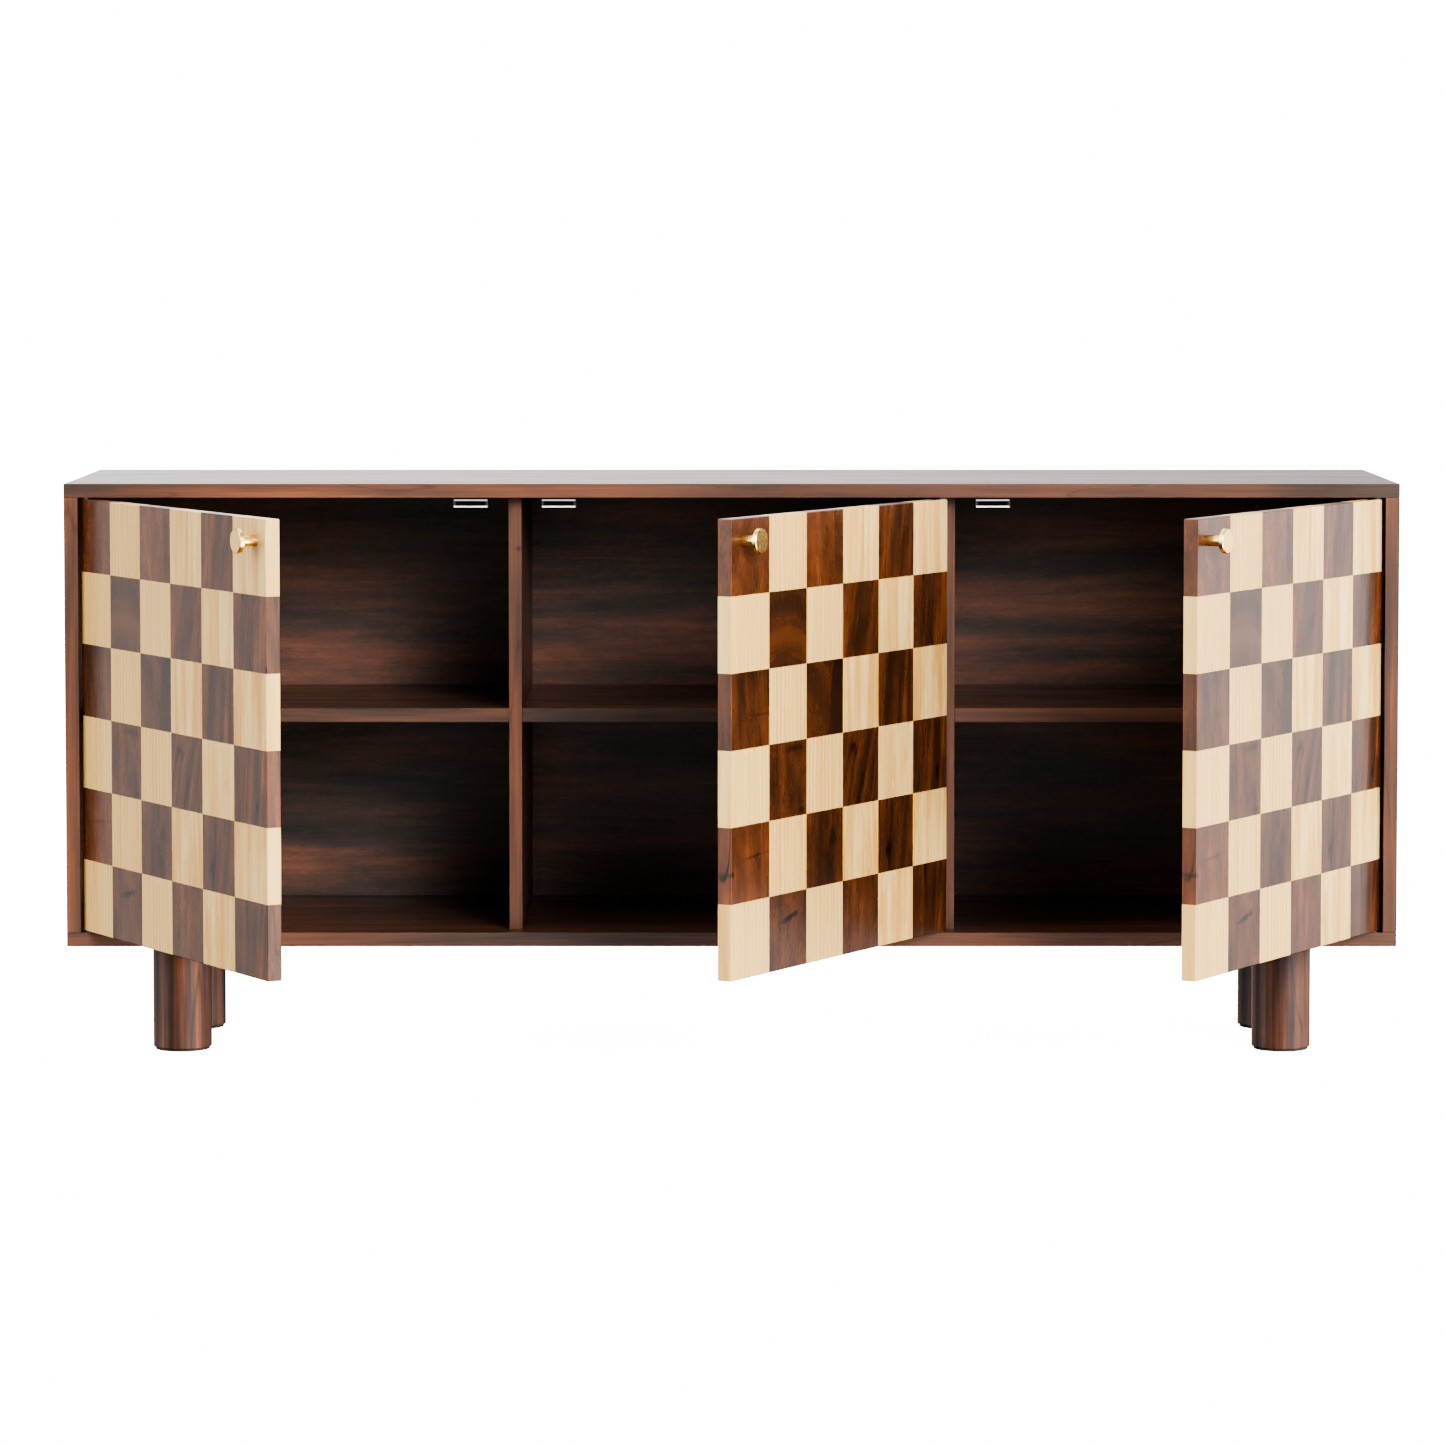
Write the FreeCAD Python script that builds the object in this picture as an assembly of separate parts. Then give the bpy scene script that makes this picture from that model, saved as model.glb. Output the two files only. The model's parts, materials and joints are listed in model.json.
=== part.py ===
import FreeCAD, Part
import os

# Three-door sideboard with six cube compartments, in millimetres.
# X runs to the right, Y to the back and Z up, and the floor is at Z = 0.
# The doors stand open by REST_ANGLE. The origin is on the floor, under the centre of the box
# that holds the unit with its doors open.

# Carcass
CASE_WIDTH = 1800.0
CASE_DEPTH = 430.0
CASE_HEIGHT = 627.0
PANEL = 19.0
FRONT_Y = 34.0
EASE = 0.8
BACK_SETBACK = 415.0
BACK_THICKNESS = 9.0
REBATE = 8.0
REBATE_PLAY = 0.5
DIVIDER = 18.0
INNER_SETBACK = 30.0
LOWER_OPENING = 283.0

# Legs
LEG_RADIUS = 40.0
LEG_HEIGHT = 152.0
LEG_EASE = 2.0
LEG_X = 755.0
LEG_SETBACKS = {"front": 111.0, "rear": 319.0}
GLIDE_RADIUS = 37.0
GLIDE_HEIGHT = 3.0
PLATE_RADIUS = 32.0
PLATE_THICKNESS = 3.0
PLATE_PLAY = 1.0
PLATE_BOSS_RADIUS = 7.0
PLATE_BOSS_HEIGHT = 8.0
PLATE_SCREW_RADIUS = 22.0
PLATE_SCREW_LENGTH = 14.0
BOLT_RADIUS = 4.0
BOLT_DEPTH = 40.0

# Doors
DOOR_COUNT = 3
DOOR_THICKNESS = 20.0
DOOR_GAP = 3.0
DOOR_END_GAP = 2.0
DOOR_EASE = 1.2
CHECKS = 6
REST_ANGLE = 60.0

# Pivot hinges at the top and the bottom of each door
PIVOT_INSET = 8.0
PIVOT_SETBACK = 4.0
PIN_RADIUS = 2.0
PIN_CLEARANCE = 0.05
LEAF_THICKNESS = 2.5
LEAF_SPAN = (2.0, 46.0)
LEAF_SETBACKS = (1.2, 14.2)
LEAF_SCREW_INSETS = (20.0, 38.0)
CARCASS_LEAF_SCREW_LENGTH = 15.0
DOOR_LEAF_SCREW_LENGTH = 20.0
WASHER_RADIUS = 4.5
WASHER_PLAY = 0.1
WASHER_THICKNESS = 1.6

# Turned knobs
KNOB_INSET = 29.5
KNOB_DROP = 28.0
KNOB_LENGTH = 28.0
KNOB_RADIUS = 15.75
KNOB_RIM = 6.5
KNOB_CHAMFER = 0.8
KNOB_STEM_RADIUS = 7.0
KNOB_SCREW_RADIUS = 2.0
KNOB_SCREW_HOLE = 2.25
KNOB_SCREW_HEAD_RADIUS = 4.2
KNOB_SCREW_HEAD_HEIGHT = 2.6
KNOB_SCREW_ENGAGEMENT = 9.0

# Magnetic catches under the top panel, and their strike plates
CATCH_INSET = 58.0
CATCH_SETBACK = 22.0
CATCH_WIDTH = 48.0
CATCH_DEPTH = 22.0
CATCH_HEIGHT = 14.5
CATCH_EASE = 0.8
CATCH_SCREW_SPREAD = 14.0
CATCH_SCREW_SETBACK = 16.0
CATCH_SCREW_LENGTH = 24.0
POLE_WIDTH = 45.0
POLE_DEPTH = 10.0
POLE_THICKNESS = 2.0
POLE_DROPS = (3.2, 11.9)
POLE_PROUD = 0.8
MAGNET_WIDTH = 40.0
MAGNET_RECESS = 1.6
STRIKE_WIDTH = 40.0
STRIKE_HEIGHT = 12.5
STRIKE_THICKNESS = 1.5
STRIKE_DROP = 1.0
STRIKE_SCREW_LENGTH = 14.0

# Dowels and screws
DOWEL_RADIUS = 4.0
DOWEL_IN_END = 22.0
DOWEL_IN_PANEL = 12.0
DOWEL_IN_DIVIDER = 8.0
CORNER_DOWEL_SETBACKS = (45.0, 150.0, 265.0, 380.0)
INNER_DOWEL_SETBACKS = (80.0, 220.0, 360.0)
SCREW_RADIUS = 1.6
SCREW_HEAD_RADIUS = 3.0
SCREW_HEAD_HEIGHT = 1.8
SCREW_POINT = 4.0
RECESS_WIDTH = 0.9
RECESS_DEPTH = 1.1
RECESS_REACH = 1.8
BACK_SCREW_LENGTH = 24.0
BACK_SCREW_COLUMNS = 7
BACK_SCREW_ROWS = 3
BACK_SCREW_END_MARGIN = 27.0
BACK_SCREW_LEVEL_MARGIN = 108.0

# Levels and places that follow from the sizes above
CASE_BOTTOM = GLIDE_HEIGHT + LEG_HEIGHT
CASE_TOP = CASE_BOTTOM + CASE_HEIGHT
INNER_BOTTOM = CASE_BOTTOM + PANEL
INNER_TOP = CASE_TOP - PANEL
INNER_HALF = CASE_WIDTH / 2 - PANEL
SHELF_BOTTOM = INNER_BOTTOM + LOWER_OPENING
SHELF_MIDDLE = SHELF_BOTTOM + PANEL / 2
DOOR_WIDTH = (2 * INNER_HALF - (DOOR_COUNT + 1) * DOOR_GAP) / DOOR_COUNT
DOOR_PITCH = DOOR_WIDTH + DOOR_GAP
DOOR_BOTTOM = INNER_BOTTOM + DOOR_END_GAP
DOOR_TOP = INNER_TOP - DOOR_END_GAP
DIVIDER_X = DOOR_PITCH / 2
DIVIDERS = {"left": -DIVIDER_X, "right": DIVIDER_X}
SIDES = {"left": -1, "right": 1}

UP = FreeCAD.Vector(0, 0, 1)
DOWN = FreeCAD.Vector(0, 0, -1)
BACKWARD = FreeCAD.Vector(0, 1, 0)
FORWARD = FreeCAD.Vector(0, -1, 0)


def behind_front(setback):
    """Y of a plane that lies a setback behind the front of the carcass."""
    return FRONT_Y + setback


def block(xs, setbacks, zs):
    """Plain block between two X values, two setbacks from the front and two heights."""
    x_low, x_high = sorted(xs)
    back_low, back_high = sorted(setbacks)
    z_low, z_high = sorted(zs)
    corner = FreeCAD.Vector(x_low, behind_front(back_low), z_low)
    return Part.makeBox(x_high - x_low, back_high - back_low, z_high - z_low, corner)


def board(xs, setbacks, zs, ease=EASE):
    """Block with all its edges eased."""
    plain = block(xs, setbacks, zs)
    return plain.makeFillet(ease, plain.Edges)


def rod(radius, start, end):
    """Round rod from one point to another."""
    run = end.sub(start)
    return Part.makeCylinder(radius, run.Length, start, run)


def turned(profile, foot, direction):
    """Turned piece: profile lists (radius, distance from foot) along direction."""
    points = [FreeCAD.Vector(radius, 0, height) for radius, height in profile]
    outline = Part.makePolygon(points + points[:1])
    solid = Part.Face(outline).revolve(FreeCAD.Vector(0, 0, 0), UP, 360)
    solid.Placement = FreeCAD.Placement(foot, FreeCAD.Rotation(UP, direction))
    return solid


def screw_blank(head, direction, length):
    """Countersunk wood screw without its recess, which is also the hole that it fills."""
    profile = [
        (0, 0),
        (SCREW_HEAD_RADIUS, 0),
        (SCREW_RADIUS, SCREW_HEAD_HEIGHT),
        (SCREW_RADIUS, length - SCREW_POINT),
        (0, length),
    ]
    return turned(profile, head, direction)


def cross_recess(head, direction):
    """Cross-shaped drive recess in the head of a screw."""
    half = RECESS_WIDTH / 2
    arms = []
    for reach_x, reach_y in ((RECESS_REACH, half), (half, RECESS_REACH)):
        corner = FreeCAD.Vector(-reach_x, -reach_y, 0)
        arms.append(Part.makeBox(2 * reach_x, 2 * reach_y, RECESS_DEPTH, corner))
    recess = arms[0].fuse(arms[1])
    recess.Placement = FreeCAD.Placement(head, FreeCAD.Rotation(UP, direction))
    return recess


def screws_into(shapes, heads, direction, length):
    """Cut the holes of a set of screws out of shapes, and return the shapes and the screws."""
    blanks = [screw_blank(head, direction, length) for head in heads]
    drilled = [cut_all(shape, blanks) for shape in shapes]
    made = [blank.cut(cross_recess(head, direction)) for blank, head in zip(blanks, heads)]
    return drilled, made


def cut_all(shape, tools):
    """Cut the tools that reach a shape out of it."""
    near = [tool for tool in tools if shape.BoundBox.intersect(tool.BoundBox)]
    return shape.cut(near) if near else shape


def corner_dowels():
    """Upright dowels that join each side panel to the top and the bottom panels."""
    middle = CASE_WIDTH / 2 - PANEL / 2
    dowels = []
    for x in (-middle, middle):
        dowels += upright_dowels(x, CORNER_DOWEL_SETBACKS)
    return dowels


def upright_dowels(x, setbacks):
    """Dowels at one X, across the joints with the top and the bottom panels."""
    dowels = []
    for level, outward in ((INNER_TOP, 1), (INNER_BOTTOM, -1)):
        inner_end = level - outward * DOWEL_IN_END
        outer_end = level + outward * DOWEL_IN_PANEL
        for setback in setbacks:
            start = FreeCAD.Vector(x, behind_front(setback), inner_end)
            end = FreeCAD.Vector(x, behind_front(setback), outer_end)
            dowels.append(rod(DOWEL_RADIUS, start, end))
    return dowels


def divider_dowels():
    """Upright dowels that hold both dividers."""
    dowels = []
    for x in DIVIDERS.values():
        dowels += upright_dowels(x, INNER_DOWEL_SETBACKS)
    return dowels


def shelf_spans():
    """X limits of the shelf in each bay."""
    face = DIVIDER_X + DIVIDER / 2
    inner_face = DIVIDER_X - DIVIDER / 2
    return {
        "left": (-INNER_HALF, -face),
        "middle": (-inner_face, inner_face),
        "right": (face, INNER_HALF),
    }


def shelf_dowels():
    """Level dowels at both ends of every shelf."""
    dowels = []
    for span in shelf_spans().values():
        for x, outward in zip(span, (-1, 1)):
            depth = DOWEL_IN_PANEL if abs(x) == INNER_HALF else DOWEL_IN_DIVIDER
            for setback in INNER_DOWEL_SETBACKS:
                start = FreeCAD.Vector(x - outward * DOWEL_IN_END, behind_front(setback), SHELF_MIDDLE)
                end = FreeCAD.Vector(x + outward * depth, behind_front(setback), SHELF_MIDDLE)
                dowels.append(rod(DOWEL_RADIUS, start, end))
    return dowels


def carcass_panels():
    """Top, bottom, side and back panels, dividers and shelves, before drilling."""
    half = CASE_WIDTH / 2
    depth = (0, CASE_DEPTH)
    rebate = block(
        (-INNER_HALF - REBATE, INNER_HALF + REBATE),
        (BACK_SETBACK, CASE_DEPTH + REBATE),
        (INNER_BOTTOM - REBATE, INNER_TOP + REBATE),
    )
    panels = {
        "top_panel": board((-half, half), depth, (INNER_TOP, CASE_TOP)).cut(rebate),
        "bottom_panel": board((-half, half), depth, (CASE_BOTTOM, INNER_BOTTOM)).cut(rebate),
    }
    for name, side in SIDES.items():
        span = (side * INNER_HALF, side * half)
        panels[name + "_side_panel"] = board(span, depth, (INNER_BOTTOM, INNER_TOP)).cut(rebate)
    inner_depth = (INNER_SETBACK, BACK_SETBACK)
    for name, x in DIVIDERS.items():
        span = (x - DIVIDER / 2, x + DIVIDER / 2)
        panels[name + "_divider"] = board(span, inner_depth, (INNER_BOTTOM, INNER_TOP))
    for name, span in shelf_spans().items():
        panels[name + "_shelf"] = board(span, inner_depth, (SHELF_BOTTOM, SHELF_BOTTOM + PANEL))
    reach = REBATE - REBATE_PLAY
    panels["back_panel"] = board(
        (-INNER_HALF - reach, INNER_HALF + reach),
        (BACK_SETBACK, BACK_SETBACK + BACK_THICKNESS),
        (INNER_BOTTOM - reach, INNER_TOP + reach),
    )
    return panels


def evenly(low, high, count):
    """Evenly spaced values from low to high."""
    step = (high - low) / (count - 1)
    return [low + step * index for index in range(count)]


def back_screw_heads():
    """Head centres of the screws that hold the back panel to the carcass and the dividers."""
    y = behind_front(BACK_SETBACK + BACK_THICKNESS)
    edge_x = INNER_HALF + REBATE / 2
    edge_low = INNER_BOTTOM - REBATE / 2
    edge_high = INNER_TOP + REBATE / 2
    outer_x = edge_x - BACK_SCREW_END_MARGIN
    heads = []
    for x in evenly(-outer_x, outer_x, BACK_SCREW_COLUMNS):
        heads += [FreeCAD.Vector(x, y, edge_low), FreeCAD.Vector(x, y, edge_high)]
    lowest = edge_low + BACK_SCREW_LEVEL_MARGIN
    highest = edge_high - BACK_SCREW_LEVEL_MARGIN
    upright_levels = evenly(lowest, highest, BACK_SCREW_ROWS)
    for x in (-edge_x, -DIVIDER_X, DIVIDER_X, edge_x):
        heads += [FreeCAD.Vector(x, y, z) for z in upright_levels]
    return heads


def drill_panels(panels, names, tools):
    """Cut tools out of the named panels."""
    for name in names:
        panels[name] = cut_all(panels[name], tools)


def carcass_nodes():
    """Panels with their dowels and the screws of the back panel."""
    panels = carcass_panels()
    nodes = {
        "carcass_dowels": corner_dowels(),
        "divider_dowels": divider_dowels(),
        "shelf_dowels": shelf_dowels(),
    }
    wood = [name for name in panels if name != "back_panel"]
    drill_panels(panels, wood, [dowel for group in nodes.values() for dowel in group])
    names = list(panels)
    drilled, screws = screws_into(list(panels.values()), back_screw_heads(), FORWARD, BACK_SCREW_LENGTH)
    nodes["back_panel_screws"] = screws
    for name, shape in zip(names, drilled):
        nodes[name] = [shape]
    return nodes


def leg(x, y):
    """Round leg with a recess for its mounting plate and a hole for its bolt."""
    foot = FreeCAD.Vector(x, y, GLIDE_HEIGHT)
    plain = Part.makeCylinder(LEG_RADIUS, LEG_HEIGHT, foot)
    foot_edges = [edge for edge in plain.Edges if abs(edge.BoundBox.ZMax - GLIDE_HEIGHT) < EASE]
    eased = plain.makeFillet(LEG_EASE, foot_edges)
    top = FreeCAD.Vector(x, y, CASE_BOTTOM)
    recess_bottom = top - UP * PLATE_THICKNESS
    recess = rod(PLATE_RADIUS + PLATE_PLAY, recess_bottom, top)
    bolt_hole = rod(BOLT_RADIUS, top - UP * BOLT_DEPTH, top)
    return eased.cut([recess, bolt_hole])


def mounting_plate(x, y):
    """Round steel plate with a raised boss that takes the leg's bolt."""
    top = FreeCAD.Vector(x, y, CASE_BOTTOM)
    plate = rod(PLATE_RADIUS, top - UP * PLATE_THICKNESS, top)
    boss_top = top + UP * PLATE_BOSS_HEIGHT
    boss = rod(PLATE_BOSS_RADIUS, top, boss_top)
    bore = rod(BOLT_RADIUS, top - UP * PLATE_THICKNESS, boss_top)
    return plate.fuse(boss).cut(bore)


def leg_nodes(nodes):
    """Legs, plates, bolts, screws and glides; the bottom panel is drilled to suit."""
    nodes["leg_glides"] = []
    nodes["leg_mounting_plates"] = []
    nodes["leg_hanger_bolts"] = []
    nodes["leg_plate_screws"] = []
    panel = nodes["bottom_panel"][0]
    for row, setback in LEG_SETBACKS.items():
        for name, side in SIDES.items():
            x = side * LEG_X
            y = behind_front(setback)
            floor = FreeCAD.Vector(x, y, 0)
            top = FreeCAD.Vector(x, y, CASE_BOTTOM)
            boss_top = top + UP * PLATE_BOSS_HEIGHT
            nodes[row + "_" + name + "_leg"] = [leg(x, y)]
            nodes["leg_glides"].append(rod(GLIDE_RADIUS, floor, floor + UP * GLIDE_HEIGHT))
            nodes["leg_hanger_bolts"].append(rod(BOLT_RADIUS, top - UP * BOLT_DEPTH, boss_top))
            panel = panel.cut(rod(PLATE_BOSS_RADIUS, top, boss_top))
            heads = plate_screw_heads(top)
            shapes = [panel, mounting_plate(x, y)]
            (panel, plate), screws = screws_into(shapes, heads, UP, PLATE_SCREW_LENGTH)
            nodes["leg_mounting_plates"].append(plate)
            nodes["leg_plate_screws"] += screws
    nodes["bottom_panel"] = [panel]


def plate_screw_heads(top):
    """Head centres of the four screws of one mounting plate."""
    heads = []
    for step_x in (-1, 1):
        for step_y in (-1, 1):
            spread = PLATE_SCREW_RADIUS / 2 ** 0.5
            offset = FreeCAD.Vector(step_x * spread, step_y * spread, -PLATE_THICKNESS)
            heads.append(top + offset)
    return heads


class Door:
    """One door: its closed place, which way it opens and what its pieces are measured from."""

    def __init__(self, name, index, hinge_side):
        self.name = name
        self.left = -INNER_HALF + DOOR_GAP + index * DOOR_PITCH
        self.hinge_edge = self.left if hinge_side == "left" else self.left + DOOR_WIDTH
        self.inward = 1 if hinge_side == "left" else -1

    def across(self, inset):
        """X of a line that lies an inset from the hinge edge of the closed door."""
        return self.hinge_edge + self.inward * inset

    def from_free_edge(self, inset):
        """X of a line that lies an inset from the free edge of the closed door."""
        return self.across(DOOR_WIDTH - inset)

    def pivot(self):
        """Point at floor level on the hinge axis."""
        return FreeCAD.Vector(self.across(PIVOT_INSET), behind_front(PIVOT_SETBACK), 0)

    def opened(self, shape):
        """The shape turned from the closed place to the rest angle."""
        turned_shape = shape.copy()
        turned_shape.rotate(self.pivot(), UP, -self.inward * REST_ANGLE)
        return turned_shape


DOORS = (Door("left", 0, "left"), Door("middle", 1, "right"), Door("right", 2, "right"))

# Each hinge end: level of the carcass face, level of the door face, and the way to the carcass
HINGE_ENDS = ((INNER_TOP, DOOR_TOP, UP), (INNER_BOTTOM, DOOR_BOTTOM, DOWN))


def leaf(door, level, away):
    """Flat hinge leaf let into a face at a level, on the side that away points to."""
    xs = [door.across(inset) for inset in LEAF_SPAN]
    return block(xs, LEAF_SETBACKS, (level, level + away.z * LEAF_THICKNESS))


def leaf_screw_heads(door, level):
    """Head centres of the screws of one leaf."""
    y = behind_front(sum(LEAF_SETBACKS) / 2)
    return [FreeCAD.Vector(door.across(inset), y, level) for inset in LEAF_SCREW_INSETS]


def carcass_hinge_nodes(nodes):
    """Carcass leaves, pins, washers and screws; the top and bottom panels are cut to suit."""
    for name in ("hinge_carcass_leaves", "hinge_pins", "hinge_washers", "hinge_carcass_screws"):
        nodes[name] = []
    for door in DOORS:
        for panel_name, (level, door_level, away) in zip(("top_panel", "bottom_panel"), HINGE_ENDS):
            on_axis = door.pivot() + UP * level
            pin_root = on_axis + away * LEAF_THICKNESS
            pin_end = door.pivot() + UP * door_level - away * LEAF_THICKNESS
            pin = rod(PIN_RADIUS, pin_root, pin_end)
            plain_leaf = leaf(door, level, away)
            panel = nodes[panel_name][0].cut(plain_leaf)
            shapes = [panel, plain_leaf.cut(pin)]
            heads = leaf_screw_heads(door, level)
            (panel, drilled), screws = screws_into(shapes, heads, away, CARCASS_LEAF_SCREW_LENGTH)
            washer_end = on_axis - away * WASHER_THICKNESS
            washer = rod(WASHER_RADIUS, on_axis, washer_end)
            washer_bore = rod(PIN_RADIUS + WASHER_PLAY, on_axis, washer_end)
            nodes[panel_name] = [panel]
            nodes["hinge_carcass_leaves"].append(drilled)
            nodes["hinge_pins"].append(pin)
            nodes["hinge_washers"].append(washer.cut(washer_bore))
            nodes["hinge_carcass_screws"] += screws


def catch_nodes(nodes):
    """Magnetic catches under the top panel, one for each door."""
    for name in ("catch_housings", "catch_magnets", "catch_pole_plates", "catch_screws"):
        nodes[name] = []
    for door in DOORS:
        x = door.from_free_edge(CATCH_INSET)
        housing = board(
            (x - CATCH_WIDTH / 2, x + CATCH_WIDTH / 2),
            (CATCH_SETBACK + POLE_PROUD, CATCH_SETBACK + CATCH_DEPTH),
            (INNER_TOP - CATCH_HEIGHT, INNER_TOP),
            CATCH_EASE,
        )
        pole_span = (x - POLE_WIDTH / 2, x + POLE_WIDTH / 2)
        pole_back = CATCH_SETBACK + POLE_DEPTH
        pole_depth = (CATCH_SETBACK, pole_back)
        poles = []
        for drop in POLE_DROPS:
            level = INNER_TOP - drop
            poles.append(block(pole_span, pole_depth, (level - POLE_THICKNESS, level)))
        magnet_span = (x - MAGNET_WIDTH / 2, x + MAGNET_WIDTH / 2)
        between_poles = (INNER_TOP - POLE_DROPS[0] - POLE_THICKNESS, INNER_TOP - POLE_DROPS[1])
        magnet = block(magnet_span, (CATCH_SETBACK + MAGNET_RECESS, pole_back), between_poles)
        channel = block(magnet_span, pole_depth, between_poles)
        y = behind_front(CATCH_SETBACK + CATCH_SCREW_SETBACK)
        level = INNER_TOP - CATCH_HEIGHT
        heads = [FreeCAD.Vector(x + side * CATCH_SCREW_SPREAD, y, level) for side in (-1, 1)]
        shapes = [housing.cut(poles + [channel]), nodes["top_panel"][0]]
        (housing, top_panel), screws = screws_into(shapes, heads, UP, CATCH_SCREW_LENGTH)
        nodes["top_panel"] = [top_panel]
        nodes["catch_housings"].append(housing)
        nodes["catch_magnets"].append(magnet)
        nodes["catch_pole_plates"] += poles
        nodes["catch_screws"] += screws


def knob(door):
    """Turned knob with a threaded hole in its foot."""
    height = DOOR_TOP - KNOB_DROP
    foot = FreeCAD.Vector(door.from_free_edge(KNOB_INSET), behind_front(0), height)
    rim_start = KNOB_LENGTH - KNOB_RIM
    chamfered = KNOB_RADIUS - KNOB_CHAMFER
    profile = [
        (0, 0),
        (KNOB_STEM_RADIUS, 0),
        (KNOB_STEM_RADIUS, rim_start),
        (chamfered, rim_start),
        (KNOB_RADIUS, rim_start + KNOB_CHAMFER),
        (KNOB_RADIUS, KNOB_LENGTH - KNOB_CHAMFER),
        (chamfered, KNOB_LENGTH),
        (0, KNOB_LENGTH),
    ]
    hole = rod(KNOB_SCREW_RADIUS, foot, foot + FORWARD * KNOB_SCREW_ENGAGEMENT)
    return turned(profile, foot, FORWARD).cut(hole)


def knob_screw(door):
    """Machine screw from the back of the door into the knob."""
    height = DOOR_TOP - KNOB_DROP
    seat = FreeCAD.Vector(door.from_free_edge(KNOB_INSET), behind_front(DOOR_THICKNESS), height)
    head = rod(KNOB_SCREW_HEAD_RADIUS, seat, seat + BACKWARD * KNOB_SCREW_HEAD_HEIGHT)
    reach = DOOR_THICKNESS + KNOB_SCREW_ENGAGEMENT
    shank = rod(KNOB_SCREW_RADIUS, seat, seat + FORWARD * reach)
    recess = cross_recess(seat + BACKWARD * KNOB_SCREW_HEAD_HEIGHT, FORWARD)
    return head.fuse(shank).cut(recess)


def strike_plate(door):
    """Steel strike plate on the back of the door, opposite its catch."""
    x = door.from_free_edge(CATCH_INSET)
    top = DOOR_TOP - STRIKE_DROP
    return block(
        (x - STRIKE_WIDTH / 2, x + STRIKE_WIDTH / 2),
        (DOOR_THICKNESS, DOOR_THICKNESS + STRIKE_THICKNESS),
        (top - STRIKE_HEIGHT, top),
    )


def check_blocks(door, slab):
    """The slab sawn into a square grid of solid blocks, as a dark and a light set."""
    width = DOOR_WIDTH / CHECKS
    height = (DOOR_TOP - DOOR_BOTTOM) / CHECKS
    sets = {"dark": [], "light": []}
    for row in range(CHECKS):
        top = DOOR_TOP - row * height
        for column in range(CHECKS):
            left = door.left + column * width
            cell = block((left, left + width), (0, DOOR_THICKNESS), (top - height, top))
            shade = "dark" if (row + column) % 2 == 0 else "light"
            sets[shade].append(slab.common(cell).Solids[0])
    return sets


def door_nodes(door):
    """Everything that moves with one door, at the rest angle."""
    span = (door.left, door.left + DOOR_WIDTH)
    slab = board(span, (0, DOOR_THICKNESS), (DOOR_BOTTOM, DOOR_TOP), DOOR_EASE)
    leaves = []
    leaf_screws = []
    for _, level, away in HINGE_ENDS:
        into_door = away * -1
        plain_leaf = leaf(door, level, into_door)
        slab = slab.cut(plain_leaf)
        foot = door.pivot() + UP * level
        bore = rod(PIN_RADIUS + PIN_CLEARANCE, foot, foot + into_door * LEAF_THICKNESS)
        shapes = [slab, plain_leaf.cut(bore)]
        heads = leaf_screw_heads(door, level)
        (slab, drilled), screws = screws_into(shapes, heads, into_door, DOOR_LEAF_SCREW_LENGTH)
        leaves.append(drilled)
        leaf_screws += screws
    strike = strike_plate(door)
    strike_middle = strike.BoundBox.Center
    strike_face = behind_front(DOOR_THICKNESS + STRIKE_THICKNESS)
    strike_head = FreeCAD.Vector(strike_middle.x, strike_face, strike_middle.z)
    shapes = [slab, strike]
    (slab, strike), strike_screws = screws_into(shapes, [strike_head], FORWARD, STRIKE_SCREW_LENGTH)
    knob_level = DOOR_TOP - KNOB_DROP
    hole_start = FreeCAD.Vector(door.from_free_edge(KNOB_INSET), behind_front(0), knob_level)
    slab = slab.cut(rod(KNOB_SCREW_HOLE, hole_start, hole_start + BACKWARD * DOOR_THICKNESS))
    blocks = check_blocks(door, slab)
    pieces = {
        "dark_blocks": blocks["dark"],
        "light_blocks": blocks["light"],
        "hinge_leaves": leaves,
        "hinge_screws": leaf_screws,
        "strike_plate": [strike],
        "strike_screw": strike_screws,
        "knob": [knob(door)],
        "knob_screw": [knob_screw(door)],
    }
    nodes = {}
    for name, shapes in pieces.items():
        nodes[door.name + "_door_" + name] = [door.opened(shape) for shape in shapes]
    return nodes


def main():
    nodes = carcass_nodes()
    leg_nodes(nodes)
    carcass_hinge_nodes(nodes)
    catch_nodes(nodes)
    for door in DOORS:
        nodes.update(door_nodes(door))
    os.makedirs("parts", exist_ok=True)
    for name, shapes in nodes.items():
        shape = shapes[0] if len(shapes) == 1 else Part.makeCompound(shapes)
        shape.exportStep("parts/" + name + ".step")
        volume = sum(solid.Volume for solid in shape.Solids)
        print(name, len(shape.Solids), "solids", round(volume), "mm3", "valid", shape.isValid())
    for door in DOORS:
        pivot = door.pivot()
        print(door.name, "door pivot", round(pivot.x, 3), round(pivot.y, 3))


main()
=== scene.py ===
import json
import math

import bpy
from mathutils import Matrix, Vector


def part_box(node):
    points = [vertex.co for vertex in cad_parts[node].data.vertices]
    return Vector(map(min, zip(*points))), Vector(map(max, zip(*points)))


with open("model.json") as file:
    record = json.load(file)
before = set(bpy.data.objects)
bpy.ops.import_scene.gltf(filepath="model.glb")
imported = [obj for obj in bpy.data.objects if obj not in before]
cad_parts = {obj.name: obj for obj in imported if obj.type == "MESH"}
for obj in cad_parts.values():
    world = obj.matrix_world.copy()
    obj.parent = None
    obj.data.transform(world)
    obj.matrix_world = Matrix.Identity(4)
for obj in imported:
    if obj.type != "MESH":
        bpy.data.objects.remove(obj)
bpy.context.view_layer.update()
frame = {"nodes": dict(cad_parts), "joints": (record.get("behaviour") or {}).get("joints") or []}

# The camera stands in front of the carcass, a little above its top, and looks slightly down. Its place and lens
# come from a perspective fit.
CAMERA_DISTANCE = 7.337
CAMERA_HEIGHT = 1.132
CAMERA_SIDE = 0.0011
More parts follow.
